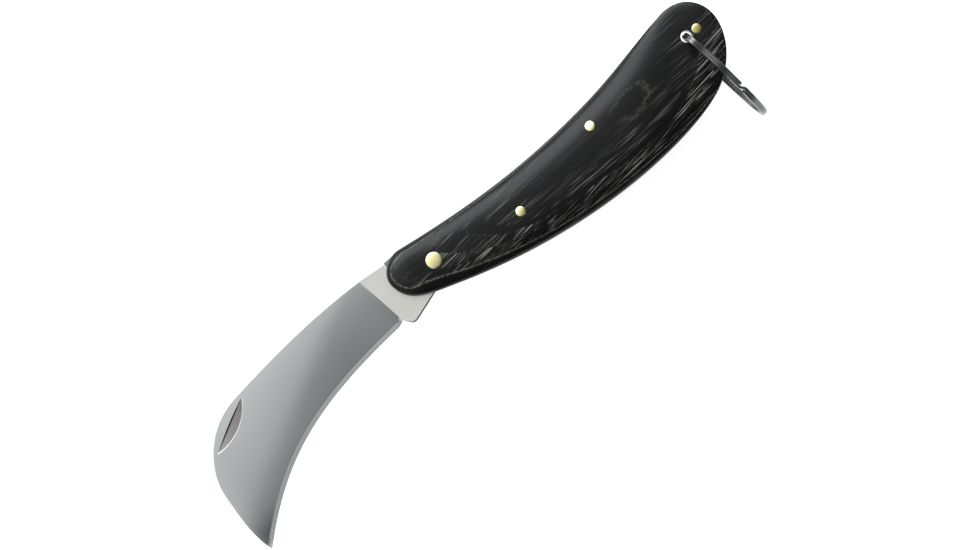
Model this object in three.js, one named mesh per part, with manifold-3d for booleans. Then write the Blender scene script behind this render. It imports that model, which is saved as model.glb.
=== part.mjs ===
// A folding knife with a hooked blade: a slip-joint spring along its back, two crowned scales of
// laminated wood on steel liners, brass pins, and a split key ring through the butt.
// Millimetres. The knife lies flat with its blade open and its ring standing upright.
//
// The pieces are drawn about the blade's pivot: +X towards the butt, +Y towards the knife's back
// (the spring), +Z out of the front scale, and Z = 0 in the middle of the blade. The last lines
// move the whole knife so that the origin is under the middle of its box.
import * as THREE from "three";
import { mergeVertices } from "three/addons/utils/BufferGeometryUtils.js";
import Module from "manifold-3d";

const wasm = await Module();
wasm.setup();

// Thicknesses
const bladeThickness = 2.4;
const slotWidth = 2.6;
const linerThickness = 0.9;
const scaleWall = 1.2; // the upright rim of a scale, below its crown
const noseCrown = 3.6; // a scale's thickness over the pivot
const middleCrown = 4.8; // its thickness over the flat land along the middle
const buttCrown = 1.9; // its thickness at the butt, where the ring turns through

// Brass pins: head radius and place
const pivot = { x: 0, y: 0, radius: 2.0 };
const middlePin = { x: 50, y: -4.7, radius: 1.25 };
const rearPin = { x: 85.3, y: -7.0, radius: 1.25 };
const scaleRivet = { x: 23.3, y: -7.0, radius: 1.25 };
const pinGap = 0.05; // around a pin in its hole
const runningGap = 0.1; // around the pivot in the blade, and between stops
const headDome = 0.25; // rise of a polished pin head
const roundSides = 28;

// Split ring of flat wire, two turns, through a hole in the butt
const ringHole = { x: 82.2, y: -6.6, radius: 1.5 };
const ringWire = { radial: 1.3, axial: 0.82, chamfer: 0.3 };
const ringRadius = 13.4; // to the middle of the wire
const ringLift = 0.33; // the wire passes this far above the hole's middle, as the ring curves
const turnPitch = 0.86;
const joggleAngle = THREE.MathUtils.degToRad(113); // from the hole, over the front
const joggleHalf = THREE.MathUtils.degToRad(4);
const stepsPerTurn = 48;

// Handle: cubic curves as [control, control, end], round the back edge and then the slot edge
const noseTop = [-4.1, 8.05];
const backEdge = [
  [15.2, 2.9, 32.4, 0, 52, 0],
  [63, -0.1, 73.5, 1.6, 81.5, 1.8],
  [88.4, 1.95, 90.8, -3.25, 90.8, -6.55],
  [90.8, -9.55, 89.5, -12.45, 87.5, -14.95],
];
const slotEdge = [
  [85.4, -17.45, 82.7, -19.45, 79.9, -20.65],
  [70, -24.95, 36, -25.25, 0, -8.15],
  [-7, -4.95, -11.75, -3.0, -11.7, 2.95],
  [-11.7, 6.75, -7.2, 8.85, -4.1, 8.05],
];
const curveSteps = 14;

// The crest, the highest line of a scale, is a parabola that dips away from the back
const crest = { start: -4, end: 84, lowX: 57, lowY: -9.3, bend: 0.00314 };
const crownRings = [0.04, 0.1, 0.19, 0.31, 0.46, 0.64, 0.85]; // shares of the way to the crest
const crownPower = 2.4; // over 2 is squarer than an ellipse
const land = { start: 28, end: 58 }; // the stretch where the crown is level
const crownRise = -8; // where the crown starts to climb from the nose
const crownFall = 88; // where it has come down at the butt

// Tang and spring: the spring's end bears on flats at one distance from the pivot
const springTilt = THREE.MathUtils.degToRad(12); // the spring's end slopes down to the butt
const springReach = 3.6; // from the pivot to the spring's bearing face
const tangReach = 3.54; // from the pivot to the blade's two bearing flats
const closedAngle = THREE.MathUtils.degToRad(153); // how far the blade folds
const camRadius = 4.3; // round end of the tang
const shoulderX = -9.8; // where the blade's shoulder meets the spring's end
const bearingEnd = 3.8; // where the spring's bearing lump stops

// Blade: cubic curves for the spine, belly and hooked edge
const spineStart = [-16.5, 9.65];
const spineCurves = [
  [-30, 12.05, -44.5, 12.2, -58, 11.9],
  [-69.2, 11.75, -75.9, 2.9, -77.05, -2.9],
  [-78.2, -8.5, -79.7, -16, -78.4, -20.5],
];
const notch = [-15.9, -4.8]; // between the kick and the heel of the edge
const heel = [-17.6, -5.3];
const edgeCurve = [-47, -3.9, -61, -7.9, -78.4, -20.5];
const grindStations = 40;
const grindEnd = 0.996; // the last station, just short of the point
const spineHalf = 1.12; // half thickness of the ground blade at its spine
const bevelHalf = 0.2; // at the start of the sharpened bevel
const edgeHalf = 0.06;
const bevelWidth = 1.2;
const pointTaper = 4.5; // where the blade is this narrow it starts to thin to its point
const nickAngle = THREE.MathUtils.degToRad(21.5);
const nick = { x: -63.8, y: 7.95, face: 0.95, length: 15, depth: 0.5, width: 2.6 };

// ---- Tools for shapes ----

/** A path through cubic curves given as [control, control, end]. */
function curvedPath(start, curves) {
  const path = new THREE.Path();
  path.moveTo(...start);
  for (const curve of curves) path.bezierCurveTo(...curve);
  return path;
}

/** A flat plate of a closed outline between two heights, with round holes. */
function plate(outline, low, high, holes = []) {
  const shape = new THREE.Shape(outline);
  for (const { x, y, radius } of holes) {
    shape.holes.push(new THREE.Path().absarc(x, y, radius, 0, 2 * Math.PI, true));
  }
  const geometry = new THREE.ExtrudeGeometry(shape, {
    depth: high - low,
    bevelEnabled: false,
    curveSegments: roundSides / 2,
  });
  return geometry.translate(0, 0, low);
}

/** A closed body from a list of points and triangles. */
function body(points, triangles) {
  const geometry = new THREE.BufferGeometry().setFromPoints(points);
  geometry.setIndex(triangles.flat());
  geometry.computeVertexNormals();
  return geometry;
}

/** The triangles that join one ring of points to the next, each ring going anticlockwise. */
function bands(ringCount, size) {
  const triangles = [];
  for (let ring = 0; ring + 1 < ringCount; ring += 1) {
    for (let i = 0; i < size; i += 1) {
      const a = ring * size + i;
      const b = ring * size + ((i + 1) % size);
      triangles.push([a, b, b + size], [a, b + size, a + size]);
    }
  }
  return triangles;
}

/** A closed body through rings of points, with its two convex ends capped by fans. */
function loft(rings) {
  const size = rings[0].length;
  const last = (rings.length - 1) * size;
  const triangles = bands(rings.length, size);
  for (let i = 1; i + 1 < size; i += 1) {
    triangles.push([0, i + 1, i], [last, last + i, last + i + 1]);
  }
  return body(rings.flat(), triangles);
}

/** The triangles that fill a flat anticlockwise outline, seen from above. */
function lid(outline) {
  return THREE.ShapeUtils.triangulateShape(outline, []).map(([a, b, c]) => {
    const turn = THREE.ShapeUtils.area([outline[a], outline[b], outline[c]]);
    return turn > 0 ? [a, b, c] : [a, c, b];
  });
}

/** The triangles that close a long anticlockwise ring, zipped between its two sides along X. */
function ridge(ring) {
  const order = ring.map((_, index) => index).sort((a, b) => ring[a].x - ring[b].x);
  const [start, end] = [order[0], order.at(-1)];
  const steps = (from, to) => (to - from + ring.length) % ring.length;
  const triangles = [];
  let [low, high] = [start, start]; // the last point reached on each side
  for (const next of order.slice(1)) {
    if (low !== high) triangles.push([low, next, high]);
    if (steps(start, next) < steps(start, end)) low = next;
    else high = next;
  }
  return triangles;
}

/** The same body on the other side of Z = 0. */
function mirrored(geometry) {
  const copy = mergeVertices(bare(geometry)).scale(1, 1, -1);
  copy.setIndex(Array.from(copy.index.array).reverse());
  copy.computeVertexNormals();
  return copy;
}

function bare(geometry) {
  const copy = geometry.clone();
  copy.deleteAttribute("normal");
  copy.deleteAttribute("uv");
  return copy;
}

function toSolid(geometry) {
  const merged = mergeVertices(bare(geometry));
  return new wasm.Manifold(
    new wasm.Mesh({
      numProp: 3,
      vertProperties: new Float32Array(merged.attributes.position.array),
      triVerts: new Uint32Array(merged.index.array),
    }),
  );
}

function fromSolid(solid) {
  const mesh = solid.getMesh();
  const geometry = new THREE.BufferGeometry();
  geometry.setAttribute("position", new THREE.BufferAttribute(mesh.vertProperties, 3));
  geometry.setIndex(new THREE.BufferAttribute(mesh.triVerts, 1));
  geometry.computeVertexNormals();
  return geometry;
}

function cut(geometry, ...tools) {
  return fromSolid(tools.reduce((solid, tool) => solid.subtract(toSolid(tool)), toSolid(geometry)));
}

function join(...pieces) {
  return fromSolid(pieces.map(toSolid).reduce((whole, piece) => whole.add(piece)));
}

// ---- Handle ----

const halfSlot = slotWidth / 2;
const linerFace = halfSlot + linerThickness;

function handleOutline() {
  const outline = curvedPath(noseTop, [...backEdge, ...slotEdge]).getPoints(curveSteps);
  return outline.slice(0, -1).reverse();
}

function crestY(x) {
  return crest.lowY + crest.bend * (x - crest.lowX) ** 2;
}

/** A scale's full thickness over the crest: level along the land, falling to nose and butt. */
function crownAt(x) {
  const climb = THREE.MathUtils.smoothstep(x, crownRise, land.start);
  const fall = THREE.MathUtils.smoothstep(x, land.end, crownFall);
  return noseCrown + (middleCrown - noseCrown) * climb - (middleCrown - buttCrown) * fall;
}

/** The front scale before its holes are drilled: an upright rim and a crown up to the crest. */
function scaleBlank() {
  const outline = handleOutline();
  const rim = (height) => outline.map(({ x, y }) => new THREE.Vector3(x, y, height));
  const rings = [rim(linerFace), rim(linerFace + scaleWall)];
  for (const share of crownRings) {
    const rise = Math.sqrt(1 - (1 - share) ** crownPower);
    rings.push(
      outline.map(({ x, y }) => {
        const crestX = THREE.MathUtils.clamp(x, crest.start, crest.end);
        const thickness = scaleWall + (crownAt(crestX) - scaleWall) * rise;
        const inward = new THREE.Vector2(x, y).lerp(new THREE.Vector2(crestX, crestY(crestX)), share);
        return new THREE.Vector3(inward.x, inward.y, linerFace + thickness);
      }),
    );
  }
  const top = (rings.length - 1) * outline.length;
  const underside = lid(outline).map(([a, b, c]) => [a, c, b]);
  const crown = ridge(rings.at(-1)).map((corners) => corners.map((corner) => corner + top));
  return body(rings.flat(), [...bands(rings.length, outline.length), ...underside, ...crown]);
}

function drill({ x, y, radius }, gap) {
  const length = 40;
  const tool = new THREE.CylinderGeometry(radius + gap, radius + gap, length, roundSides);
  return tool.rotateX(Math.PI / 2).translate(x, y, 0);
}

function frontScale() {
  const pins = [pivot, middlePin, rearPin, scaleRivet].map((pin) => drill(pin, pinGap));
  return cut(scaleBlank(), ...pins, drill(ringHole, 0));
}

function frontLiner() {
  const fit = (pin) => ({ ...pin, radius: pin.radius + pinGap });
  const holes = [pivot, middlePin, rearPin, scaleRivet].map(fit);
  return plate(handleOutline(), halfSlot, linerFace, [...holes, ringHole]);
}

/** Height of the front scale's surface at a pin. */
function surfaceHeight({ x, y }) {
  const ray = new THREE.Raycaster(new THREE.Vector3(x, y, 50), new THREE.Vector3(0, 0, -1));
  return ray.intersectObject(new THREE.Mesh(scaleBlank()))[0].point.z;
}

/** A turned pin between two heights, with a low dome on each end that is a head. */
function turnedPin({ x, y, radius }, low, high, lowDome) {
  const profile = [
    [0, low - lowDome],
    [radius * 0.6, low - lowDome * 0.7],
    [radius, low],
    [radius, high],
    [radius * 0.6, high + headDome * 0.7],
    [0, high + headDome],
  ];
  const points = profile.map(([r, h]) => new THREE.Vector2(r, h));
  const geometry = new THREE.LatheGeometry(points, roundSides);
  return geometry.rotateX(Math.PI / 2).translate(x, y, 0);
}

function throughPin(pin) {
  const height = surfaceHeight(pin);
  return turnedPin(pin, -height, height, headDome);
}

function frontScaleRivet() {
  return turnedPin(scaleRivet, halfSlot, surfaceHeight(scaleRivet), 0);
}

// ---- Spring ----

/** Height of the spring's bearing face, a straight line that tilts down to the butt. */
function bearingY(x, reach) {
  return reach / Math.cos(springTilt) - x * Math.tan(springTilt);
}

function backSpring() {
  const shape = new THREE.Path();
  const endX = shoulderX + runningGap;
  const endTop = 8.35;
  const endSlope = Math.tan(springTilt) * (endTop - bearingY(endX, springReach));
  shape.moveTo(endX + endSlope, endTop);
  shape.lineTo(...noseTop);
  for (const curve of backEdge) shape.bezierCurveTo(...curve);
  shape.bezierCurveTo(85, -13.5, 82, -11.2, 77, -10.6); // pocket for the blade's point
  shape.bezierCurveTo(68, -9.6, 60, -9, 50, -8.4); // stiff rear half, past the middle pin
  shape.bezierCurveTo(38, -7.4, 28, -3.6, 16.5, 0.16); // tapering arm
  shape.lineTo(5.8, 3.17); // the kick rests on this face when the blade is shut
  shape.lineTo(bearingEnd, bearingY(bearingEnd, springReach));
  shape.lineTo(endX, bearingY(endX, springReach));
  const fit = (pin) => ({ ...pin, radius: pin.radius + pinGap });
  const holes = [fit(middlePin), fit(rearPin), ringHole];
  return plate(shape.getPoints(curveSteps).reverse(), -halfSlot, halfSlot, holes);
}

// ---- Blade ----

/** Tang and ricasso at full thickness, from the cam round the pivot to the plunge line. */
function tang() {
  const shape = new THREE.Path();
  const shutTilt = Math.PI - springTilt - closedAngle; // the shut flat, in the open blade's frame
  const flatHalf = Math.sqrt(camRadius ** 2 - tangReach ** 2);
  const openFlat = Math.atan2(tangReach, flatHalf) - springTilt;
  const shutFlat = -Math.atan2(tangReach, flatHalf) + shutTilt;
  const shoulderY = bearingY(shoulderX, tangReach);
  const shoulderTop = 8.25;
  shape.moveTo(...spineStart);
  shape.lineTo(shoulderX + Math.tan(springTilt) * (shoulderTop - shoulderY), shoulderTop);
  shape.lineTo(shoulderX, shoulderY);
  shape.absarc(0, 0, camRadius, openFlat, shutFlat, true);
  shape.lineTo(-2.5, -4.35); // end of the flat that the spring bears on when shut
  shape.lineTo(-4.2, -5.47);
  shape.lineTo(-13, -7.23);
  shape.quadraticCurveTo(-14.3, -7.5, -14.8, -6.6); // rounded kick
  shape.lineTo(...notch);
  const hole = { ...pivot, radius: pivot.radius + runningGap };
  const half = bladeThickness / 2;
  return plate(shape.getPoints(curveSteps).reverse(), -half, half, [hole]);
}

/** The ground part: six-cornered sections from the spine to the bevelled edge. */
function groundBlade() {
  const spine = curvedPath(spineStart, spineCurves);
  const edge = new THREE.Path();
  edge.moveTo(...notch);
  edge.lineTo(...heel);
  edge.bezierCurveTo(...edgeCurve);
  const section = (back, sharp) => {
    const width = back.distanceTo(sharp);
    const bevel = sharp.clone().lerp(back, Math.min(0.5, bevelWidth / width));
    const thinning = 1 - Math.exp(-((width / pointTaper) ** 2));
    const backHalf = edgeHalf + (spineHalf - edgeHalf) * thinning;
    const cornerHalf = Math.min(bevelHalf, 0.45 * backHalf + 0.5 * edgeHalf);
    const corner = ({ x, y }, z) => new THREE.Vector3(x, y, z);
    return [
      corner(back, backHalf),
      corner(back, -backHalf),
      corner(bevel, -cornerHalf),
      corner(sharp, -edgeHalf),
      corner(sharp, edgeHalf),
      corner(bevel, cornerHalf),
    ];
  };
  const rooted = section(new THREE.Vector2(-15.5, 8.8), new THREE.Vector2(-15, -4)); // in the ricasso
  const rings = [rooted];
  for (let station = 0; station <= grindStations; station += 1) {
    const along = (grindEnd * station) / grindStations;
    rings.push(section(spine.getPointAt(along), edge.getPointAt(along)));
  }
  return loft(rings);
}

/** The wheel that cuts the nail nick: a wide disc with one flat and one sloping side. */
function nickWheel() {
  const radius = nick.length ** 2 / (8 * nick.depth);
  const reach = 1.4 * nick.width;
  const fall = (nick.depth / nick.width) * reach;
  const profile = [
    [0, 0],
    [radius, 0],
    [radius - fall, -reach],
    [0, -reach],
  ];
  const points = profile.map(([r, h]) => new THREE.Vector2(r, h)).reverse();
  const wheel = new THREE.LatheGeometry(points, 280);
  return wheel.rotateZ(nickAngle).translate(nick.x, nick.y, nick.face - nick.depth + radius);
}

function blade() {
  return cut(join(tang(), groundBlade()), nickWheel());
}

// ---- Ring ----

/** Two turns of flat wire; at the joggle the wire crosses straight over from one to the other. */
function keyRing() {
  const { radial, axial, chamfer } = ringWire;
  const [r, a] = [radial / 2, axial / 2];
  const section = [
    [-r, -a + chamfer],
    [-r, a - chamfer],
    [-r + chamfer, a],
    [r - chamfer, a],
    [r, a - chamfer],
    [r, -a + chamfer],
    [r - chamfer, -a],
    [-r + chamfer, -a],
  ];
  const middleY = ringHole.y - ringRadius + ringLift;
  const rings = [];
  for (const side of [-1, 1]) {
    const offset = (side * turnPitch) / 2;
    for (let step = 0; step <= stepsPerTurn; step += 1) {
      const share = step / stepsPerTurn;
      const angle = joggleAngle + joggleHalf + 2 * (Math.PI - joggleHalf) * share;
      rings.push(
        section.map(([outward, sideways]) => {
          const distance = ringRadius + outward;
          const y = middleY + distance * Math.cos(angle);
          return new THREE.Vector3(ringHole.x + offset + sideways, y, distance * Math.sin(angle));
        }),
      );
    }
  }
  return loft(rings);
}

// ---- Assembly ----

function finish(color, roughness, metalness) {
  return new THREE.MeshStandardMaterial({ color, roughness, metalness });
}

const materials = {
  steel: finish(0x8c908c, 0.35, 1.0),
  springSteel: finish(0x9a9c9a, 0.4, 1.0),
  linerSteel: finish(0xa6a8a6, 0.4, 1.0),
  wood: finish(0x1b1a1b, 0.35, 0.0),
  brass: finish(0xd8bd6a, 0.3, 1.0),
  ringSteel: finish(0x7d807e, 0.3, 1.0),
};

const pieces = [
  ["blade", blade(), materials.steel],
  ["back_spring", backSpring(), materials.springSteel],
  ["front_liner", frontLiner(), materials.linerSteel],
  ["back_liner", mirrored(frontLiner()), materials.linerSteel],
  ["front_scale", frontScale(), materials.wood],
  ["back_scale", mirrored(frontScale()), materials.wood],
  ["pivot_pin", throughPin(pivot), materials.brass],
  ["spring_middle_pin", throughPin(middlePin), materials.brass],
  ["spring_rear_pin", throughPin(rearPin), materials.brass],
  ["front_scale_rivet", frontScaleRivet(), materials.brass],
  ["back_scale_rivet", mirrored(frontScaleRivet()), materials.brass],
  ["key_ring", keyRing(), materials.ringSteel],
];

const knife = new THREE.Group();
for (const [name, geometry, material] of pieces) {
  const mesh = new THREE.Mesh(geometry, material);
  mesh.name = name;
  knife.add(mesh);
}

const box = new THREE.Box3().setFromObject(knife);
const middle = box.getCenter(new THREE.Vector3());
knife.position.set(-middle.x, -middle.y, -box.min.z);

const group = new THREE.Group();
group.add(knife);
export default group;
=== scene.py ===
"""A folding knife with a hooked blade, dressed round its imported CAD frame.

Shapes are drawn in millimetres about the blade's pivot, as in the CAD source: +X towards the butt,
+Y towards the knife's back, +Z out of the front scale, Z = 0 in the middle of the blade.
place() turns them into metres in the row frame, where the middle of the pivot pin's box is the pivot.
"""

import math

import bmesh
import bpy
import numpy as np
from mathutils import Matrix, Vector
from mathutils.bvhtree import BVHTree


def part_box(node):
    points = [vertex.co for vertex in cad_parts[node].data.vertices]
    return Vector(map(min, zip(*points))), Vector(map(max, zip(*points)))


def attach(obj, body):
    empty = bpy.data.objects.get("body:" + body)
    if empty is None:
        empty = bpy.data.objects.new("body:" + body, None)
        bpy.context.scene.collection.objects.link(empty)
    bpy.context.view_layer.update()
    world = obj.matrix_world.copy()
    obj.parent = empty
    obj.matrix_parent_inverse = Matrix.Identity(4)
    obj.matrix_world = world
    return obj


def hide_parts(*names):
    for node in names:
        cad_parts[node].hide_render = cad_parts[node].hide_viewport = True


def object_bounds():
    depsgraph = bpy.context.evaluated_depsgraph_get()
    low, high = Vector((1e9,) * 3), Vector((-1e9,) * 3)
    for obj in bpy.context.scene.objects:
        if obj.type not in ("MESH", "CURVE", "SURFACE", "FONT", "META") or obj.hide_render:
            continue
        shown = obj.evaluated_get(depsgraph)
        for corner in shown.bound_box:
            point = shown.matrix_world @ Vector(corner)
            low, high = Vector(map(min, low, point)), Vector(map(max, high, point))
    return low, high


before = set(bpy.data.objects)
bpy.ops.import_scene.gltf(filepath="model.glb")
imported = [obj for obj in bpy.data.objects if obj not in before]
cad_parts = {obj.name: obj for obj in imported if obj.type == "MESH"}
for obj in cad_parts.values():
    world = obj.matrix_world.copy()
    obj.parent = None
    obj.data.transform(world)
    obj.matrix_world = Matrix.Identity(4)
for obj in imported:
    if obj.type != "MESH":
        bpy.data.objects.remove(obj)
cad_low, cad_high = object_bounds()
pivot_low, pivot_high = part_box("pivot_pin")

MM = 0.001
PIVOT = (pivot_low + pivot_high) / 2

# Thicknesses
BLADE_HALF = 1.2
HALF_SLOT = 1.3
LINER_FACE = 2.2
SCALE_WALL = 1.2
NOSE_CROWN, MIDDLE_CROWN, BUTT_CROWN = 3.6, 4.8, 1.9

# Pins: node, place and radius
PIVOT_PIN = ("pivot_pin", (0.0, 0.0), 2.0)
MIDDLE_PIN = ("spring_middle_pin", (50.0, -4.7), 1.25)
REAR_PIN = ("spring_rear_pin", (85.3, -7.0), 1.25)
SCALE_RIVET = ("front_scale_rivet", (23.3, -7.0), 1.25)
PINS = (PIVOT_PIN, MIDDLE_PIN, REAR_PIN, SCALE_RIVET)
PIN_GAP, BORE_GAP = 0.045, 0.1
PIN_DOME, PIN_ROUNDING, PIN_SINK = 0.13, 0.07, 0.05

# Split ring
RING_HOLE, RING_HOLE_RADIUS = (82.2, -6.6), 1.5
MOUTH_DEPTH, MOUTH_FLARE = 0.12, 0.5
RING_RADIUS = 13.4
RING_LIFT = 0.33
WIRE_RADIAL, WIRE_AXIAL = 1.26, 0.82
OUTER_ROUNDING, MATING_ROUNDING = 0.34, 0.07
TURN_PITCH = 0.86
JOGGLE_ANGLE, JOGGLE_HALF = math.radians(113), math.radians(4)

# Handle outline: cubic curves as (control, control, end), along the back and then the slot
NOSE_TOP = (-4.1, 8.05)
BACK_EDGE = [
    (15.2, 2.9, 32.4, 0, 52, 0),
    (63, -0.1, 73.5, 1.6, 81.5, 1.8),
    (88.4, 1.95, 90.8, -3.25, 90.8, -6.55),
    (90.8, -9.55, 89.5, -12.45, 87.5, -14.95),
]
SLOT_EDGE = [
    (85.4, -17.45, 82.7, -19.45, 79.9, -20.65),
    (70, -24.95, 36, -25.25, 0, -8.15),
    (-7, -4.95, -11.75, -3.0, -11.7, 2.95),
    (-11.7, 6.75, -7.2, 8.85, -4.1, 8.05),
]
CREST_START, CREST_END, CREST_SOFTNESS = -4.0, 84.0, 2.5
CREST_LOW_X, CREST_LOW_Y, CREST_BEND = 57, -9.3, 0.00314
CROWN_POWER = 2.4
RIM_EDGE, LINER_EDGE, SPRING_EDGE = 0.07, 0.06, 0.08

# Tang and spring
SPRING_TILT = math.radians(12)
SPRING_REACH, TANG_REACH = 3.6, 3.54
CLOSED_ANGLE = math.radians(153)
CAM_RADIUS = 4.3
KICK = ((-13, -7.23), (-14.3, -7.5), (-14.8, -6.6))
TANG_BELLY = ((-2.5, -4.35), (-4.2, -5.47))
TANG_EDGE, KICK_EDGE, EDGE_STEEPNESS = 0.13, 0.42, 0.45
SHOULDER_X, SHOULDER_TOP = -9.8, 8.25
SPRING_GAP, SPRING_TOP = 0.1, 8.35
BEARING_END = 3.8
SPRING_NECK = (5.8, 3.17)
SPRING_INNER = [
    (85, -13.5, 82, -11.2, 77, -10.6),
    (68, -9.6, 60, -9, 50, -8.4),
    (38, -7.4, 28, -3.6, 16.5, 0.16),
]

# Blade
SPINE_START = (-16.5, 9.65)
SPINE = [
    (-30, 12.05, -44.5, 12.2, -58, 11.9),
    (-69.2, 11.75, -75.9, 2.9, -77.05, -2.9),
    (-78.2, -8.5, -79.7, -16, -78.4, -20.5),
]
NOTCH, HEEL = (-15.9, -4.8), (-17.6, -5.3)
ROOT_TOP, ROOT_FOOT = (-15.5, 8.8), (-15, -4)
EDGE = [(-47, -3.9, -61, -7.9, -78.4, -20.5)]
SPINE_HALF, BEVEL_HALF, EDGE_HALF = 1.12, 0.2, 0.05
BEVEL_WIDTH = 1.2
GRIND_CONVEXITY = 1.6
PLUNGE_WIDTH = 0.4
POINT_TAPER = 4.5
NICK_ANGLE = math.radians(21.5)
NICK_PLACE, NICK_LENGTH, NICK_DEPTH, NICK_WIDTH = (-63.8, 7.95), 15.0, 0.5, 2.6
NICK_WALL = 0.35

# ---- Points and meshes ----


def place(points):
    """Points in millimetres about the pivot, as metres in the row frame."""
    return np.asarray(points, float) * MM + np.array(PIVOT)


def along_curves(start, curves, steps=60):
    """Points along joined cubic curves given as (control, control, end)."""
    points = [np.array(start, float)]
    for curve in curves:
        a = points[-1]
        b, c, d = np.array(curve, float).reshape(3, 2)
        for t in np.linspace(0, 1, steps + 1)[1:]:
            s = 1 - t
            points.append(s**3 * a + 3 * s**2 * t * b + 3 * s * t * t * c + t**3 * d)
    return np.array(points)


def lengths_along(points):
    steps = np.hypot(*np.diff(points, axis=0).T)
    return np.concatenate([[0], np.cumsum(steps)])


def at_shares(points, shares):
    """The points at these shares of a line's length."""
    lengths = lengths_along(points)
    at = np.asarray(shares) * lengths[-1]
    return np.column_stack([np.interp(at, lengths, points[:, axis]) for axis in (0, 1)])


def respaced(points, spacing):
    """The same line with evenly spaced points."""
    count = max(2, round(lengths_along(points)[-1] / spacing))
    return at_shares(points, np.linspace(0, 1, count + 1))


def smoothstep(x, low, high):
    t = np.clip((np.asarray(x, float) - low) / (high - low), 0, 1)
    return t * t * (3 - 2 * t)


def new_piece(name, points, faces):
    """A mesh of points in millimetres, with doubled points merged and its faces turned outwards."""
    mesh = bpy.data.meshes.new(name)
    mesh.from_pydata(place(points).tolist(), [], faces)
    tidy = bmesh.new()
    tidy.from_mesh(mesh)
    bmesh.ops.remove_doubles(tidy, verts=tidy.verts, dist=1e-7)
    bmesh.ops.recalc_face_normals(tidy, faces=tidy.faces)
    tidy.to_mesh(mesh)
    tidy.free()
    piece = bpy.data.objects.new(name, mesh)
    bpy.context.scene.collection.objects.link(piece)
    return piece


def loft(rings, open_ends=False):
    """Points and faces of a body through closed rings of the same size, with flat ends."""
    size = len(rings[0])
    faces = []
    for ring in range(len(rings) - 1):
        for i in range(size):
            a = ring * size + i
            b = ring * size + (i + 1) % size
            faces.append((a, b, b + size, a + size))
    if not open_ends:
        last = (len(rings) - 1) * size
        faces.append(tuple(range(size - 1, -1, -1)))
        faces.append(tuple(range(last, last + size)))
    return np.vstack(rings), faces


def inset(outline, distances):
    """A closed outline moved inwards by a distance at each point."""
    ahead = np.roll(outline, -1, axis=0) - outline
    behind = outline - np.roll(outline, 1, axis=0)
    ahead /= np.linalg.norm(ahead, axis=1)[:, None]
    behind /= np.linalg.norm(behind, axis=1)[:, None]
    bisector = ahead + behind
    bisector /= np.linalg.norm(bisector, axis=1)[:, None]
    mitre = np.clip((bisector * ahead).sum(axis=1), 0.5, 1)
    x, y = outline.T
    area = (x * np.roll(y, -1) - y * np.roll(x, -1)).sum()
    inward = np.column_stack([-bisector[:, 1], bisector[:, 0]]) * math.copysign(1, area)
    return outline + inward * (np.asarray(distances) / mitre)[:, None]


def level(outline, height):
    return np.column_stack([outline, np.full(len(outline), height)])


def slab(outline, low, high, edges, steepness=1.0):
    """A plate with its edges broken by these distances, one for each point of the outline; the
    break goes steepness times as far down as it goes in."""
    small = inset(outline, edges)
    reach = np.asarray(edges) * steepness
    lower = np.column_stack([outline, low + reach])
    upper = np.column_stack([outline, high - reach])
    return loft([level(small, low), lower, upper, level(small, high)])


def lathe(profile, centre, sides=96):
    """A body turned round an upright axis; profile holds (radius, height) pairs."""
    turns = np.arange(sides) * 2 * math.pi / sides
    circle = np.column_stack([np.cos(turns), np.sin(turns)])
    return loft([level(circle * radius + np.array(centre), height) for radius, height in profile])


def cut_or_join(piece, tools, operation):
    """Applies booleans to a piece and removes the tools."""
    for tool in tools:
        step = piece.modifiers.new("step", "BOOLEAN")
        step.operation = operation
        step.solver = "EXACT"
        step.material_mode = "TRANSFER"
        step.object = tool
    bpy.context.view_layer.update()
    evaluated = piece.evaluated_get(bpy.context.evaluated_depsgraph_get())
    mesh = bpy.data.meshes.new_from_object(evaluated)
    piece.modifiers.clear()
    piece.data = mesh
    for tool in tools:
        bpy.data.objects.remove(tool)
    return piece


def shade(piece, angle=30):
    """Smooth shading that keeps edges sharper than this angle crisp."""
    piece.data.shade_smooth()
    piece.data.set_sharp_from_angle(angle=math.radians(angle))
    return piece


# ---- Handle ----


def handle_sides(spacing=0.5):
    """The handle's outline as matching points along its back and its slot side, nose to butt."""
    outline = along_curves(NOSE_TOP, BACK_EDGE + SLOT_EDGE)[:-1]
    outline = np.roll(outline, -int(np.argmin(outline[:, 0])), axis=0)
    butt = int(np.argmax(outline[:, 0]))
    back = respaced(outline[: butt + 1], spacing)
    slot = np.vstack([outline[butt:], outline[:1]])[::-1]
    slot_y = np.interp(back[:, 0], slot[:, 0], slot[:, 1])
    return back, np.column_stack([back[:, 0], slot_y])


def handle_outline():
    back, slot = handle_sides()
    return np.vstack([back, slot[-2:0:-1]])


def crest_x(x):
    """Where along the crest the crown over x rises to, easing to a stop near both ends."""
    soft = CREST_SOFTNESS
    x = CREST_START + soft * np.logaddexp(0, (x - CREST_START) / soft)
    return CREST_END - soft * np.logaddexp(0, (CREST_END - x) / soft)


def crest_y(x):
    """The crest line, a parabola; x may be a number, an array or a Value."""
    along = x - CREST_LOW_X
    return CREST_LOW_Y + CREST_BEND * (along * along)


def crown_at(x):
    """A scale's full thickness over the crest."""
    climb = smoothstep(x, -8, 28)
    fall = smoothstep(x, 58, 88)
    return NOSE_CROWN + (MIDDLE_CROWN - NOSE_CROWN) * climb - (MIDDLE_CROWN - BUTT_CROWN) * fall


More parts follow.
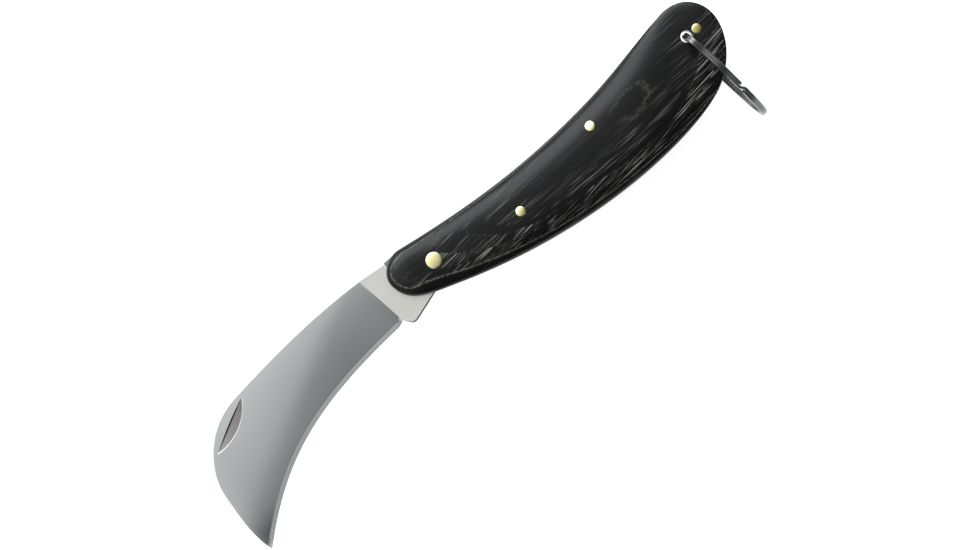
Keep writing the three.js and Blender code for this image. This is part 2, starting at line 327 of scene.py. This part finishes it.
def scale_blank(name):
    """The front scale before it is drilled: a flat underside, an upright rim and its crown."""
    outline = handle_outline()
    crest = crest_x(outline[:, 0])
    top = np.column_stack([crest, crest_y(crest)])
    crown = crown_at(crest) - SCALE_WALL
    rings = [
        level(inset(outline, np.full(len(outline), RIM_EDGE)), LINER_FACE),
        level(outline, LINER_FACE + RIM_EDGE),
    ]
    for turn in np.radians(np.linspace(0, 90, 31)):
        share = 1 - max(0.0, math.cos(turn)) ** (2 / CROWN_POWER)
        height = LINER_FACE + SCALE_WALL + crown * math.sin(turn)
        rings.append(np.column_stack([outline + (top - outline) * share, height]))
    points, faces = loft(rings, open_ends=True)
    faces.append(tuple(range(len(outline) - 1, -1, -1)))
    return new_piece(name, points, faces)


def drill(centre, radius):
    """A round bar that reaches through the whole knife."""
    profile = [(radius, -20), (radius, 20)]
    return new_piece("drill", *lathe(profile, centre))


def flip_to_back(piece):
    """Moves a piece to the other side of the blade's middle plane, as its mirror image."""
    points = np.array([v.co for v in piece.data.vertices])
    points[:, 2] = 2 * PIVOT.z - points[:, 2]
    piece.data.vertices.foreach_set("co", points.ravel())
    piece.data.flip_normals()
    return piece


def surface_finder(blank):
    """A function that gives the front scale's surface height over a point, in millimetres."""
    tree = BVHTree.FromObject(blank, bpy.context.evaluated_depsgraph_get())

    def height(x, y):
        start = Vector(place([x, y, 30]))
        hit = tree.ray_cast(start, Vector((0, 0, -1)))[0]
        return (hit.z - PIVOT.z) / MM

    return height


def scale(name, blank_mesh):
    """A drilled scale; the mouth of the ring's hole is slightly broken."""
    piece = bpy.data.objects.new(name, blank_mesh.copy())
    bpy.context.scene.collection.objects.link(piece)
    holes = [drill(centre, radius + PIN_GAP) for _, centre, radius in PINS]
    mouth = surface_height(*RING_HOLE)
    profile = [
        (RING_HOLE_RADIUS, -1),
        (RING_HOLE_RADIUS, mouth - MOUTH_DEPTH),
        (RING_HOLE_RADIUS + MOUTH_FLARE, mouth + MOUTH_FLARE),
    ]
    holes.append(new_piece("drill", *lathe(profile, RING_HOLE)))
    return shade(cut_or_join(piece, holes, "DIFFERENCE"), 32)


def liner(name):
    outline = handle_outline()
    points, faces = slab(outline, HALF_SLOT, LINER_FACE, np.full(len(outline), LINER_EDGE))
    holes = [drill(centre, radius + PIN_GAP) for _, centre, radius in PINS]
    holes.append(drill(RING_HOLE, RING_HOLE_RADIUS))
    return shade(cut_or_join(new_piece(name, points, faces), holes, "DIFFERENCE"))


def pin_head(centre, radius, sides=72):
    """Rings of a head that follows the scale's surface, from its rim to its middle."""
    turns = np.arange(sides) * 2 * math.pi / sides
    rings = []
    for share in (1, 0.985, 0.95, 0.88, 0.75, 0.55, 0.3, 0.02):
        edge = math.sqrt(max(0.0, 1 - share**8))
        lift = PIN_DOME * (1 - share**2) + PIN_ROUNDING * edge - PIN_SINK
        ring = []
        for turn in turns:
            x = centre[0] + radius * share * math.cos(turn)
            y = centre[1] + radius * share * math.sin(turn)
            ring.append((x, y, surface_height(x, y) + lift))
        rings.append(np.array(ring))
    return rings


def through_pin(name, centre, radius):
    front = pin_head(centre, radius)
    back = [ring * (1, 1, -1) for ring in reversed(front)]
    return shade(new_piece(name, *loft(back + front)), 40)


def scale_rivet(name, centre, radius):
    front = pin_head(centre, radius)
    foot = front[0].copy()
    foot[:, 2] = HALF_SLOT
    return shade(new_piece(name, *loft([foot] + front)), 40)


# ---- Spring ----


def bearing_y(x, reach):
    """The line of the flat that lies reach from the pivot, as it stands with the blade open."""
    return reach / math.cos(SPRING_TILT) - x * math.tan(SPRING_TILT)


def back_spring(name):
    """The spring, with its end square to the flats that it bears on."""
    end_x = SHOULDER_X + SPRING_GAP
    slope = math.tan(SPRING_TILT) * (SPRING_TOP - bearing_y(end_x, SPRING_REACH))
    back = along_curves(NOSE_TOP, BACK_EDGE)
    inner = along_curves(back[-1], SPRING_INNER)
    bearing = [(x, bearing_y(x, SPRING_REACH)) for x in (BEARING_END, end_x)]
    outline = np.vstack(
        [
            [(end_x + slope, SPRING_TOP)],
            respaced(back, 0.6),
            respaced(inner, 0.6)[1:],
            [SPRING_NECK],
            bearing,
        ]
    )
    points, faces = slab(outline, -HALF_SLOT, HALF_SLOT, np.full(len(outline), SPRING_EDGE))
    holes = [drill(centre, radius + PIN_GAP) for _, centre, radius in (MIDDLE_PIN, REAR_PIN)]
    holes.append(drill(RING_HOLE, RING_HOLE_RADIUS))
    return shade(cut_or_join(new_piece(name, points, faces), holes, "DIFFERENCE"))


# ---- Blade ----


def tang():
    """Tang and ricasso, with broken edges all round but along the plunge line."""
    shut_tilt = math.pi - SPRING_TILT - CLOSED_ANGLE
    flat_half = math.sqrt(CAM_RADIUS**2 - TANG_REACH**2)
    open_flat = math.atan2(TANG_REACH, flat_half) - SPRING_TILT
    shut_flat = -math.atan2(TANG_REACH, flat_half) + shut_tilt
    shoulder_y = bearing_y(SHOULDER_X, TANG_REACH)
    cam = [
        (CAM_RADIUS * math.cos(turn), CAM_RADIUS * math.sin(turn))
        for turn in np.linspace(open_flat, shut_flat, 48)
    ]
    first, corner, last = np.array(KICK)
    kick = [
        first * (1 - t) ** 2 + corner * 2 * t * (1 - t) + last * t**2
        for t in np.linspace(0, 1, 14)
    ]
    outline = np.array(
        [
            SPINE_START,
            (SHOULDER_X + math.tan(SPRING_TILT) * (SHOULDER_TOP - shoulder_y), SHOULDER_TOP),
            (SHOULDER_X, shoulder_y),
            *cam,
            *TANG_BELLY,
            *kick,
            NOTCH,
        ]
    )
    edges = np.full(len(outline), TANG_EDGE)
    edges[-(len(TANG_BELLY) + len(kick) + 1) :] = KICK_EDGE
    edges[[0, -1]] = 0.004
    return slab(outline, -BLADE_HALF, BLADE_HALF, edges, EDGE_STEEPNESS)


def blade_section(back, sharp, from_plunge):
    """One closed section of the ground blade, from its spine to its edge and back."""
    width = float(np.linalg.norm(back - sharp))
    spine = EDGE_HALF + (SPINE_HALF - EDGE_HALF) * (1 - math.exp(-((width / POINT_TAPER) ** 2)))
    bevel = min(BEVEL_HALF, 0.45 * spine + 0.5 * EDGE_HALF)
    bevel_share = 1 - min(0.5, BEVEL_WIDTH / width)
    shares = [0, 0.004, 0.012, *np.linspace(0.03, 1, 26) * bevel_share]
    shares += [bevel_share + (1 - bevel_share) * t for t in (0.33, 0.67, 1)]
    ease = max(0.0, 1 - from_plunge / PLUNGE_WIDTH) ** 2
    half = []
    for share in shares:
        if share <= bevel_share:
            flat = share / bevel_share
            thick = bevel + (spine - bevel) * (1 - flat**GRIND_CONVEXITY)
        else:
            thick = bevel + (EDGE_HALF - bevel) * (share - bevel_share) / (1 - bevel_share)
        thick += (BLADE_HALF - 0.005 - thick) * ease
        # the spine's two corners are broken
        if share == 0:
            thick -= min(0.12, 0.4 * spine)
        elif share == 0.004:
            thick -= min(0.04, 0.1 * spine)
        half.append((*(back + (sharp - back) * share), thick))
    front = np.array(half)
    return np.vstack([front, front[::-1] * (1, 1, -1)])


def edge_line():
    return np.vstack([[NOTCH], along_curves(HEEL, EDGE)])


def ground_blade():
    """The ground part, from its sections; the first one is rooted inside the ricasso."""
    spine = along_curves(SPINE_START, SPINE)
    edge = edge_line()
    reach = lengths_along(spine)[-1]
    near = np.linspace(0, PLUNGE_WIDTH, 8) / reach
    shares = np.concatenate([near, np.linspace(near[-1], 0.9985, 150)[1:]])
    rings = [blade_section(np.array(ROOT_TOP), np.array(ROOT_FOOT), 0)]
    for share, back, sharp in zip(shares, at_shares(spine, shares), at_shares(edge, shares)):
        rings.append(blade_section(back, sharp, share * reach))
    return loft(rings)


def mark_bevel(ground):
    """Gives the sharpened bevel's faces the second material."""
    edge = edge_line()
    for face in ground.data.polygons:
        middle = (np.array(face.center) - np.array(PIVOT))[:2] / MM
        gap = np.hypot(*(edge - middle).T).min()
        face.material_index = int(gap < BEVEL_WIDTH)


def nick_wheel(face):
    """The wheel that cuts the nail nick, with a steep side and a gently sloping one; both sides
    go on beyond the cut."""
    beyond = 1.4
    radius = NICK_LENGTH**2 / (8 * NICK_DEPTH)
    reach = beyond * NICK_WIDTH
    fall = NICK_DEPTH / NICK_WIDTH * reach
    steep = beyond * NICK_WALL
    profile = [
        (0.01, steep),
        (radius - beyond * NICK_DEPTH, steep),
        (radius, 0),
        (radius - fall, -reach),
        (0.01, -reach),
    ]
    points, faces = lathe(profile, (0, 0), sides=1400)
    x, y, z = points.T
    ahead, across = np.cos(NICK_ANGLE), np.sin(NICK_ANGLE)
    centre_z = face - NICK_DEPTH + radius
    turned = np.column_stack(
        [NICK_PLACE[0] + x * ahead - z * across, NICK_PLACE[1] + x * across + z * ahead, y + centre_z]
    )
    return new_piece("nick_wheel", turned, faces)


def blade(name, ricasso_paint, ground_paint, bevel_paint, nick_paint):
    """Tang, ground blade, sharpened bevel and nail nick, each with its own finish."""
    piece = new_piece(name, *tang())
    piece.data.materials.append(ricasso_paint)
    ground = new_piece("ground", *ground_blade())
    ground.data.materials.append(ground_paint)
    ground.data.materials.append(bevel_paint)
    mark_bevel(ground)
    cut_or_join(piece, [ground], "UNION")
    tree = BVHTree.FromObject(piece, bpy.context.evaluated_depsgraph_get())
    hit = tree.ray_cast(Vector(place([*NICK_PLACE, 30])), Vector((0, 0, -1)))[0]
    face = (hit.z - PIVOT.z) / MM
    bore = drill((0, 0), PIVOT_PIN[2] + BORE_GAP)
    wheel = nick_wheel(face)
    wheel.data.materials.append(nick_paint)
    cut_or_join(piece, [wheel, bore], "DIFFERENCE")
    return shade(piece, 6)


# ---- Ring ----


def wire_section(left_rounding, right_rounding):
    """The wire's section as (outward, sideways) points; its two sides may be rounded differently."""
    half_radial, half_axial = WIRE_RADIAL / 2, WIRE_AXIAL / 2
    section = []
    for quarter, (out, side) in enumerate([(1, 1), (-1, 1), (-1, -1), (1, -1)]):
        rounding = right_rounding if side > 0 else left_rounding
        for turn in np.radians(np.linspace(0, 90, 7)) + quarter * math.pi / 2:
            outward = out * (half_radial - rounding) + rounding * math.cos(turn)
            sideways = side * (half_axial - rounding) + rounding * math.sin(turn)
            section.append((outward, sideways))
    return section


def key_ring(name):
    """Two turns of flat wire; at the joggle the wire crosses over from one to the other."""
    middle_y = RING_HOLE[1] - RING_RADIUS + RING_LIFT
    travel = 4 * math.pi - 2 * JOGGLE_HALF
    outer, mating = OUTER_ROUNDING, MATING_ROUNDING
    steps = 700
    rings = []
    for step in range(steps + 1):
        wound = JOGGLE_HALF + travel * step / steps
        across = float(smoothstep(wound, 2 * math.pi - JOGGLE_HALF, 2 * math.pi + JOGGLE_HALF))
        section = wire_section(outer + (mating - outer) * across, mating + (outer - mating) * across)
        offset = TURN_PITCH * (across - 0.5)
        angle = JOGGLE_ANGLE + wound
        # the wire's cut ends are slightly broken
        end = min(step, steps - step)
        tighter = 1 - 0.12 * max(0.0, 1 - end / 2) ** 2
        ring = []
        for outward, sideways in section:
            distance = RING_RADIUS + outward * tighter
            y = middle_y + distance * math.cos(angle)
            ring.append((RING_HOLE[0] + offset + sideways * tighter, y, distance * math.sin(angle)))
        rings.append(np.array(ring))
    return shade(new_piece(name, *loft(rings)), 35)


# ---- Materials ----


class Value:
    """A node socket that can be used in formulas."""

    def __init__(self, graph, socket):
        self.graph = graph
        self.socket = socket

    def __add__(self, other):
        return self.graph.math("ADD", self, other)

    def __sub__(self, other):
        return self.graph.math("SUBTRACT", self, other)

    def __rsub__(self, other):
        return self.graph.math("SUBTRACT", other, self)

    def __mul__(self, other):
        return self.graph.math("MULTIPLY", self, other)

    def __truediv__(self, other):
        return self.graph.math("DIVIDE", self, other)

    def __abs__(self):
        return self.graph.math("ABSOLUTE", self)

    __radd__ = __add__
    __rmul__ = __mul__


class Graph:
    """Nodes of one material or world, built from formulas on Values."""

    def __init__(self, owner):
        owner.use_nodes = True
        self.owner = owner
        self.tree = owner.node_tree
        self.tree.nodes.clear()

    def node(self, kind, inputs, **settings):
        node = self.tree.nodes.new(kind)
        for key, value in settings.items():
            setattr(node, key, value)
        for key, value in inputs.items():
            self.feed(node.inputs[key], value)
        return node

    def feed(self, socket, value):
        if isinstance(value, Value):
            self.tree.links.new(value.socket, socket)
        else:
            socket.default_value = value

    def out(self, node, output=0):
        return Value(self, node.outputs[output])

    def math(self, operation, *values):
        return self.out(self.node("ShaderNodeMath", dict(enumerate(values)), operation=operation))

    def clamp(self, value):
        node = self.node("ShaderNodeClamp", {"Value": value})
        return self.out(node)

    def step(self, value, low, high):
        """0 below low, 1 above high, smooth between."""
        inputs = {"Value": value, "From Min": low, "From Max": high}
        return self.out(self.node("ShaderNodeMapRange", inputs, interpolation_type="SMOOTHSTEP"))

    def vector(self, x, y, z):
        return self.out(self.node("ShaderNodeCombineXYZ", {0: x, 1: y, 2: z}))

    def noise(self, x, y, z, detail=2.0, roughness=0.5):
        """Smooth noise about 0.5, one cell for each unit."""
        place = self.vector(x, y, z)
        inputs = {"Vector": place, "Scale": 1.0, "Detail": detail, "Roughness": roughness}
        return self.out(self.node("ShaderNodeTexNoise", inputs))

    def mix(self, share, first, second):
        node = self.node("ShaderNodeMix", {0: share}, data_type="RGBA")
        self.feed(node.inputs[6], first if isinstance(first, Value) else (*first, 1))
        self.feed(node.inputs[7], second if isinstance(second, Value) else (*second, 1))
        return self.out(node, 2)

    def millimetres(self):
        """The piece's own place, in millimetres from the blade's pivot."""
        place = self.node("ShaderNodeTexCoord", {}).outputs["Object"]
        split = self.node("ShaderNodeSeparateXYZ", {0: Value(self, place)})
        return [(self.out(split, axis) - PIVOT[axis]) * (1 / MM) for axis in range(3)]

    def turned(self, x, y, angle):
        """x and y along and across a direction at an angle, which may be a Value."""
        if isinstance(angle, Value):
            cosine, sine = self.math("COSINE", angle), self.math("SINE", angle)
        else:
            cosine, sine = math.cos(angle), math.sin(angle)
        return x * cosine + y * sine, y * cosine - x * sine

    def surface(self, bump=None, bump_mm=0.01, **inputs):
        """Ends the material in a Principled surface; input names have _ for spaces."""
        named = {key.replace("_", " "): value for key, value in inputs.items()}
        named = {
            key: (*value, 1) if isinstance(value, tuple) and len(value) == 3 else value
            for key, value in named.items()
        }
        if bump is not None:
            bumped = self.node("ShaderNodeBump", {"Height": bump, "Distance": bump_mm * MM})
            named["Normal"] = self.out(bumped)
        shader = self.node("ShaderNodeBsdfPrincipled", named)
        self.node("ShaderNodeOutputMaterial", {"Surface": self.out(shader)})
        return self.owner


def material(name):
    return Graph(bpy.data.materials.new(name))


# Rise is the height in the stack of veneers; rise 0 lies STACK_MIDDLE over the pivot's middle. The
# levels are where one veneer ends and the next begins. Turns are the veneers' grain directions in
# degrees and streaks are their shares of streaks, from the liner up.
STACK_MIDDLE = 6.6
VENEER_LEVELS = (-1.35, -0.95, -0.5, -0.05, 0.97)
VENEER_TURNS = (-3, -4, -3, 1, -5, -3)
VENEER_STREAKS = (0.1, 0.6, 1.0, 1.6, 0.5, 0.04)
DARK_BAND = 0.08


def by_veneer(rise, steps, values):
    """The value of the veneer at this rise, from the values of all the veneers, liner up."""
    total = rise * 0 + values[0]
    for step, value, before in zip(steps, values[1:], values):
        total = total + step * (value - before)
    return total


def laminated_wood():
    """Black dyed veneers: the crown cuts through their layers, so each shows as a terrace with its
    own grain. Pale dashes mark the lowest glue line and, near the middle pin, the highest one."""
    g = material("laminated_wood")
    x, y, z = g.millimetres()
    height = abs(z)
    side = g.math("LESS_THAN", z, 0.0) * 61.7
    wander = (g.noise(x / 14 + side, y / 6, height / 6, detail=3) - 0.5) * 0.26
    middle = STACK_MIDDLE - 0.0177 * x - 1.35 * g.step(x, 58, 88) - 0.5 * g.step(x, -5, -11)
    rise = height + 0.042 * y - middle + wander

    steps = [g.step(rise, at - 0.012, at + 0.012) for at in VENEER_LEVELS]
    layer = by_veneer(rise, steps, range(len(VENEER_TURNS)))
    turn = by_veneer(rise, steps, [math.radians(value) for value in VENEER_TURNS])
    amount = by_veneer(rise, steps, VENEER_STREAKS)

    seed = layer * 7.3 + side
    along, across = g.turned(x, y, turn)
    across = across + (g.noise(x / 22, y / 15, seed, detail=1) - 0.5) * 1.8
    coarse = g.noise(along / 18 + seed, across / 0.5, seed, detail=1)
    fine = g.noise(along / 9 + seed, across / 0.19, seed, detail=1)
    patches = g.step(g.noise(along / 22 + seed, across / 3.2, seed, detail=2), 0.38, 0.6)
    from_crest = y - crest_y(x)
    nose_end = g.step(x, 34.0, 16.0) * g.step(x, -1.0, 7.0)
    nose_comb = nose_end * g.step(from_crest, 6.5, 1.5)
    butt_end = g.step(x, 71.0, 79.0)
    open_side = 0.12 + 0.88 * g.clamp(g.step(from_crest, 0.5, -4.5) + nose_comb + 0.55 * butt_end)
    lines = g.step(coarse * 0.4 + fine * 0.6, 0.535, 0.66)
    streaks = g.clamp(lines * amount * open_side * (0.25 + 0.75 * patches))
    streaks = streaks * (0.4 + 0.7 * g.step(x, -2.0, 6.0))

    band = (1 - g.step(abs(rise - DARK_BAND), 0.08, 0.16)) * (1 - butt_end)
    streaks = streaks * (1 - band)
    dashes = g.step(g.noise(x / 0.6, y / 0.6, seed, detail=2), 0.42, 0.58)
    border = (1 - g.step(abs(rise - VENEER_LEVELS[0]), 0.04, 0.11)) * (0.1 + 0.9 * dashes)
    arc = (1 - g.step(abs(rise - VENEER_LEVELS[-1]), 0.02, 0.07)) * dashes * g.step(x, 54.0, 58.0)
    border = g.clamp(border + 0.28 * arc)

    tint = g.mix(g.noise(x / 5, y / 5, z, detail=1), (0.19, 0.19, 0.175), (0.3, 0.29, 0.25))
    color = g.mix(streaks, (0.0025, 0.0025, 0.0028), tint)
    color = g.mix(border * 0.55, color, (0.22, 0.21, 0.17))
    return g.surface(
        bump=(1 - streaks) + 0.2 * fine,
        bump_mm=0.02,
        Base_Color=color,
        Roughness=0.27 + 0.25 * streaks + 0.1 * (fine - 0.5),
        Specular_IOR_Level=0.27,
    )


def satin_steel():
    """The ground faces, brushed across the blade and faintly clouded, with a painted reflection in
    their colour.
    """
    g = material("blade_steel")
    x, y, z = g.millimetres()
    brushed = g.noise(x / 0.05, y / 4, z / 4, detail=2)
    fine = g.noise(x / 0.09, y / 0.09, z / 0.09, detail=2)
    cloud = g.noise(x / 9, y / 6, z, detail=3)
    # Painted reflection: the colour is lighter beyond a wavy diagonal line and towards the plunge,
    # and drawn halfway to an even grey near the point.
    from_reflection_edge = (x + 45) * -0.36 + (y - 3) * 0.93 + (cloud - 0.5) * 2.0
    light = 0.55 * g.step(from_reflection_edge, -11.0, 11.0) + 0.45 * g.step(from_reflection_edge, -4.5, 2.0)
    light = light + 0.16 * g.step(x, -34.0, -19.0)
    light = light + (0.58 - light) * (0.5 * g.step(x, -58.0, -75.0))
    tone = g.mix(light, (0.345, 0.36, 0.355), (0.68, 0.7, 0.69))
    color = g.mix(0.14 * brushed + 0.12 * cloud, tone, (0.22, 0.23, 0.22))
    return g.surface(
        bump=brushed * 0.6 + fine * 0.4,
        bump_mm=0.004,
        Base_Color=color,
        Metallic=1.0,
        Roughness=0.3 + 0.12 * (brushed - 0.5) + 0.05 * cloud,
    )


def nick_steel():
    """The wheel's cut: dull inside, with a painted highlight along the rim where its slope runs out.
    """
    g = material("nick_steel")
    x, y, z = g.millimetres()
    along, across = g.turned(x - NICK_PLACE[0], y - NICK_PLACE[1], NICK_ANGLE)
    out = across / NICK_WIDTH
    left = 1 + out - 0.2 * out * out - along * along * (4 / NICK_LENGTH**2)
    marks = g.noise(along / 0.5, across / 0.3, z / 0.1, detail=3)
    dull = g.mix(marks, (0.19, 0.175, 0.17), (0.09, 0.085, 0.08))
    # Painted highlight: the colour turns bright along the rim where the sloping side runs out.
    color = g.mix(g.step(left, 0.09, 0.02), dull, (0.5, 0.5, 0.49))
    return g.surface(bump=marks, bump_mm=0.006, Base_Color=color, Metallic=1.0, Roughness=0.3)


def dark_ring_steel():
    """Oiled spring wire, with a painted highlight where it rides in its hole and a weaker one over
    its far side.
    """
    g = material("ring_steel")
    x, y, z = g.millimetres()
    marks = g.noise(x / 0.3, y / 0.3, z / 0.3, detail=3)
    from_hole = RING_HOLE[1] - y
    # Painted highlights: the colour is bright near the hole and, more weakly, over the ring's far
    # side, dimming again towards its end.
    far_side_highlight = g.step(from_hole, 12.0, 17.0) - 0.7 * g.step(from_hole, 20.0, 25.0)
    painted_highlight = g.step(from_hole, 2.6, 0.6) + 0.38 * far_side_highlight
    color = g.mix(painted_highlight, (0.038, 0.04, 0.039), (0.92, 0.93, 0.92))
    color = g.mix(0.4 * marks, color, (0.03, 0.031, 0.03))
    roughness = 0.22 + 0.1 * marks
    return g.surface(bump=marks, bump_mm=0.006, Base_Color=color, Metallic=1.0, Roughness=roughness)


def plain_steel(name, light, dark, rough, grain):
    """Steel with fine grinding marks; grain gives the marks' sizes in x, y and z, in millimetres."""
    g = material(name)
    x, y, z = g.millimetres()
    marks = g.noise(x / grain[0], y / grain[1], z / grain[2], detail=3)
    cloud = g.noise(x / 6, y / 6, z / 6, detail=2)
    color = g.mix(0.5 * marks + 0.5 * cloud, light, dark)
    return g.surface(
        bump=marks,
        bump_mm=0.006,
        Base_Color=color,
        Metallic=1.0,
        Roughness=rough + 0.12 * (marks - 0.5),
    )


def polished_brass():
    """Brushed brass, with painted shade darkening the rear pin."""
    g = material("pin_brass")
    x, y, z = g.millimetres()
    along, across = g.turned(x, y, math.radians(35))
    scratches = g.noise(along / 1.5, across / 0.04, z / 0.04, detail=2)
    cloud = g.noise(x / 0.8, y / 0.8, z / 0.8, detail=2)
    color = g.mix(0.5 * cloud, (1.0, 0.94, 0.5), (0.87, 0.76, 0.35))
    # Painted shade: the rear pin's colour is darkened.
    color = g.mix(0.85 * g.step(x, 70.0, 84.0), color, (0.56, 0.43, 0.16))
    return g.surface(
        bump=scratches,
        bump_mm=0.003,
        Base_Color=color,
        Metallic=1.0,
        Roughness=0.24 + 0.14 * (scratches - 0.5) + 0.06 * cloud,
    )


# ---- Pieces ----

wood = laminated_wood()
brass = polished_brass()
blade_steels = (
    plain_steel("ricasso_steel", (0.83, 0.82, 0.77), (0.68, 0.67, 0.62), 0.3, (0.06, 3.0, 3.0)),
    satin_steel(),
    plain_steel("bevel_steel", (0.95, 0.97, 0.97), (0.75, 0.78, 0.78), 0.2, (0.06, 1.5, 1.5)),
    nick_steel(),
)
spring_steel = plain_steel(
    "spring_steel", (0.3, 0.3, 0.295), (0.18, 0.18, 0.175), 0.34, (3.0, 0.05, 0.3)
)
liner_steel = plain_steel(
    "liner_steel", (0.36, 0.36, 0.35), (0.24, 0.24, 0.235), 0.34, (3.0, 0.05, 0.2)
)


def dress(piece, paint, body, node):
    """Gives a piece its material, its body and the CAD node that it stands for."""
    if paint is not None:
        piece.data.materials.clear()
        piece.data.materials.append(paint)
    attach(piece, body)
    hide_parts(node)
    return piece


blank = scale_blank("blank")
surface_height = surface_finder(blank)

dress(scale("front_scale_wood", blank.data), wood, "handle", "front_scale")
back_scale = flip_to_back(scale("back_scale_wood", blank.data))
dress(back_scale, wood, "handle", "back_scale")
bpy.data.objects.remove(blank)

dress(liner("front_liner_plate"), liner_steel, "handle", "front_liner")
dress(flip_to_back(liner("back_liner_plate")), liner_steel, "handle", "back_liner")
dress(back_spring("back_spring_bar"), spring_steel, "handle", "back_spring")

for node, centre, radius in (PIVOT_PIN, MIDDLE_PIN, REAR_PIN):
    dress(through_pin(node + "_brass", centre, radius), brass, "handle", node)
front_rivet = scale_rivet("front_rivet_brass", *SCALE_RIVET[1:])
dress(front_rivet, brass, "handle", "front_scale_rivet")
back_rivet = flip_to_back(scale_rivet("back_rivet_brass", *SCALE_RIVET[1:]))
dress(back_rivet, brass, "handle", "back_scale_rivet")

dress(blade("hooked_blade", *blade_steels), None, "folding_blade", "blade")
dress(key_ring("split_ring"), dark_ring_steel(), "swinging_ring", "key_ring")

# ---- Studio ----


def pale_floor():
    """A broad pale floor under the knife, evenly lit from within."""
    half, height = 6.0, float(cad_low.z) - 0.0002
    mesh = bpy.data.meshes.new("floor")
    corners = [(-half, -half), (half, -half), (half, half), (-half, half)]
    mesh.from_pydata([(x, y, height) for x, y in corners], [], [(0, 1, 2, 3)])
    floor = bpy.data.objects.new("floor", mesh)
    bpy.context.scene.collection.objects.link(floor)
    g = material("floor_paper")
    place = g.out(g.node("ShaderNodeTexCoord", {}), 3)
    grain = g.out(g.node("ShaderNodeTexNoise", {"Vector": place, "Scale": 60.0, "Detail": 3.0}))
    color = g.mix(grain, (0.9, 0.9, 0.89), (0.93, 0.93, 0.925))
    lit = {"Emission_Color": (1.0, 1.0, 1.0), "Emission_Strength": 0.75}
    mesh.materials.append(g.surface(Base_Color=color, Roughness=0.9, Specular_IOR_Level=0.1, **lit))


def studio_world():
    """Soft light from all round, brighter beyond the knife's back and dimmer beyond its butt."""
    world = bpy.data.worlds.new("studio")
    bpy.context.scene.world = world
    g = Graph(world)
    place = g.out(g.node("ShaderNodeTexCoord", {}), 0)
    split = g.node("ShaderNodeSeparateXYZ", {0: place})
    toward_butt, toward_back, up = (g.out(split, axis) for axis in range(3))
    strength = g.math("MAXIMUM", 0.72 + toward_back * 1.4 - toward_butt * 0.7, 0.12)
    strength = strength * (0.4 + 0.6 * g.step(up, 0.15, 0.65))
    sky = g.node("ShaderNodeBackground", {"Color": (0.97, 0.99, 1.0, 1), "Strength": strength})
    g.node("ShaderNodeOutputWorld", {"Surface": g.out(sky)})


def softbox(name, target, azimuth, tilt, distance, width, height, radiance, color):
    """A rectangular light that faces target; tilt is its angle from straight up."""
    light = bpy.data.lights.new(name, "AREA")
    light.shape = "RECTANGLE"
    light.size, light.size_y = width, height
    light.energy = radiance * math.pi * width * height
    light.color = color
    lamp = bpy.data.objects.new(name, light)
    turn, lean = math.radians(azimuth), math.radians(tilt)
    away = Vector((math.sin(lean) * math.cos(turn), math.sin(lean) * math.sin(turn), math.cos(lean)))
    lamp.location = target + away * distance
    lamp.rotation_mode = "QUATERNION"
    lamp.rotation_quaternion = away.to_track_quat("Z", "Y")
    bpy.context.scene.collection.objects.link(lamp)


def camera():
    """Straight down on the knife, turned so that the handle points up and to the right."""
    data = bpy.data.cameras.new("camera")
    data.sensor_width = 36.0
    distance, seen_width = 1.45, 0.2396
    turn = math.radians(-46.1)
    data.lens = data.sensor_width * distance / seen_width
    data.clip_start, data.clip_end = 0.05, 20.0
    view = bpy.data.objects.new("camera", data)
    middle = Vector(place([6.734, -12.219, 0]))
    view.location = middle + Vector((0, 0, distance))
    view.rotation_euler = (0, 0, turn)
    bpy.context.scene.collection.objects.link(view)
    bpy.context.scene.camera = view


bpy.context.scene.view_settings.view_transform = "Standard"
bpy.context.scene.view_settings.look = "None"
knife_middle = Vector(place([10, -6, 0]))
pale_floor()
studio_world()
softbox(
    "back_softbox",
    target=knife_middle,
    azimuth=82,
    tilt=46,
    distance=1.3,
    width=1.6,
    height=1.0,
    radiance=3.2,
    color=(0.93, 0.97, 1.0),
)
camera()
